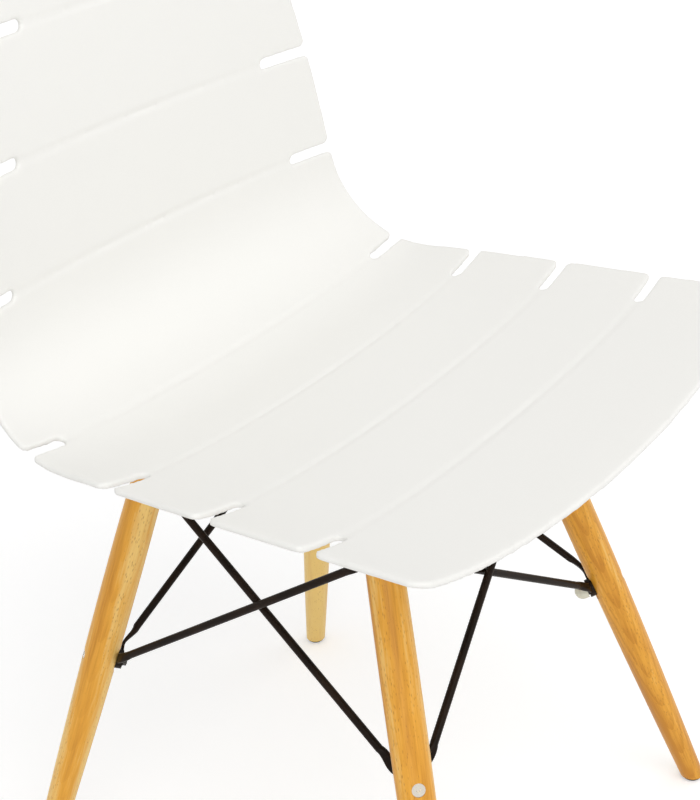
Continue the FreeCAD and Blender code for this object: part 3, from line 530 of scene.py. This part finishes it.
class CHAIR_OT_feet(bpy.types.Operator):
    """Finish the glides under the feet and the spacers under the seat"""

    bl_idname = "chair.feet"
    bl_label = "Glides and Spacers"

    def execute(self, context):
        look = context.scene.chair_finishes
        nylon = dull_plastic("moulded_nylon", look.glide_colour, 0.5)
        rubber = dull_plastic("moulded_rubber", look.rubber_colour, 0.7)
        for corner in CORNERS:
            dress("foot_glide_" + corner, nylon)
            dress("spacer_" + corner, rubber)
        return {"FINISHED"}


class CHAIR_OT_stage(bpy.types.Operator):
    """Set the floor, the lamps and the camera of the photograph"""

    bl_idname = "chair.stage"
    bl_label = "Stage"

    def execute(self, context):
        scene = context.scene
        look = scene.chair_stage
        scene.view_settings.view_transform = "Standard"
        self.make_world(scene, look)
        self.make_floor(scene)
        for name, power, place, width in LAMPS:
            self.make_lamp(scene, name, getattr(look, power), place, width)
        self.make_camera(scene, look)
        return {"FINISHED"}

    def make_world(self, scene, look):
        """An even room: pure white where it is seen or mirrored, and a plain soft light elsewhere."""
        scene.world = bpy.data.worlds.new("white_studio")
        scene.world.use_nodes = True
        tree = scene.world.node_tree
        tree.nodes.clear()
        sky = add_node(tree, "ShaderNodeBackground", inputs={
            "Color": linear("#FFFFFF"), "Strength": spread(tree, seen_directly(tree), look.sky_light, 1.0)})
        add_node(tree, "ShaderNodeOutputWorld", inputs={"Surface": sky.outputs[0]})

    def make_floor(self, scene):
        """A white floor that runs out of sight and keeps the chair's shadow."""
        mesh = bpy.data.meshes.new("studio_floor")
        corners = [(-1, -1, 0), (1, -1, 0), (1, 1, 0), (-1, 1, 0)]
        mesh.from_pydata([(x * FLOOR_REACH, y * FLOOR_REACH, z) for x, y, z in corners], [], [(0, 1, 2, 3)])
        floor = bpy.data.objects.new("studio_floor", mesh)
        scene.collection.objects.link(floor)
        material, tree = new_material("white_paper_floor")
        paper = add_node(tree, "ShaderNodeBsdfDiffuse", inputs={"Color": linear("#E8E8E8")})
        # The lamps reach the floor round the chair but not its far parts, which need more lift to stay
        # white, so the lift grows between 0.4 m and 2.5 m from the chair's middle.
        away = add_node(tree, "ShaderNodeVectorMath", {"operation": "LENGTH"}, {0: object_place(tree)})
        lift = spread(tree, away.outputs["Value"], 0.38, 0.62, low=0.4, high=2.5)
        glow = add_node(tree, "ShaderNodeEmission", inputs={
            "Strength": calculate(tree, "MULTIPLY", seen_directly(tree), lift)})
        both = add_node(tree, "ShaderNodeAddShader", inputs={0: paper.outputs[0], 1: glow.outputs[0]})
        finish_surface(tree, both)
        mesh.materials.append(material)

    def make_lamp(self, scene, name, power, place, width):
        """A large soft lamp that points at the middle of the chair."""
        lamp = bpy.data.lights.new(name, "AREA")
        lamp.shape = "DISK"
        lamp.size = width
        lamp.energy = power
        holder = bpy.data.objects.new(name, lamp)
        scene.collection.objects.link(holder)
        middle = (CAD_BOX[0] + CAD_BOX[1]) / 2
        holder.location = place
        holder.rotation_euler = (middle - Vector(place)).to_track_quat("-Z", "Y").to_euler()

    def make_camera(self, scene, look):
        """The camera of the photograph: its place, its turn and its lens."""
        camera = bpy.data.cameras.new("photo_camera")
        # Blender lays the film's width along the picture's longer side, which is its height.
        camera.sensor_width = FILM_WIDTH_MM
        camera.lens = look.camera_focal_pixels * FILM_WIDTH_MM / PICTURE_HEIGHT
        camera.clip_start, camera.clip_end = 0.01, 200.0
        holder = bpy.data.objects.new("photo_camera", camera)
        scene.collection.objects.link(holder)
        turn = Matrix.Rotation(look.camera_azimuth, 4, "Z")
        turn = turn @ Matrix.Rotation(math.pi / 2 - look.camera_elevation, 4, "X")
        turn = turn @ Matrix.Rotation(look.camera_roll, 4, "Z")
        holder.matrix_world = Matrix.Translation(Vector(look.camera_place)) @ turn
        scene.camera = holder


class CHAIR_PT_panel(bpy.types.Panel):
    """The chair's finishes and its stage, in the sidebar"""

    bl_label = "Shell Chair"
    bl_idname = "CHAIR_PT_panel"
    bl_space_type = "VIEW_3D"
    bl_region_type = "UI"
    bl_category = "Shell Chair"

    def draw(self, context):
        for group in (context.scene.chair_finishes, context.scene.chair_stage):
            for name in group.__annotations__:
                self.layout.prop(group, name)
        for step in STEPS:
            self.layout.operator(step.bl_idname)


STEPS = (
    CHAIR_OT_seat_shell, CHAIR_OT_legs, CHAIR_OT_struts, CHAIR_OT_fasteners, CHAIR_OT_feet, CHAIR_OT_stage)
CLASSES = (ChairFinishes, ChairStage, *STEPS, CHAIR_PT_panel)


def register():
    for cls in CLASSES:
        bpy.utils.register_class(cls)
    bpy.types.Scene.chair_finishes = bpy.props.PointerProperty(type=ChairFinishes)
    bpy.types.Scene.chair_stage = bpy.props.PointerProperty(type=ChairStage)


def unregister():
    del bpy.types.Scene.chair_stage
    del bpy.types.Scene.chair_finishes
    for cls in reversed(CLASSES):
        bpy.utils.unregister_class(cls)


def main():
    """Build the chair's looks step by step."""
    register()
    for step in STEPS:
        family, name = step.bl_idname.split(".")
        getattr(getattr(bpy.ops, family), name)()


if __name__ == "__main__":
    main()
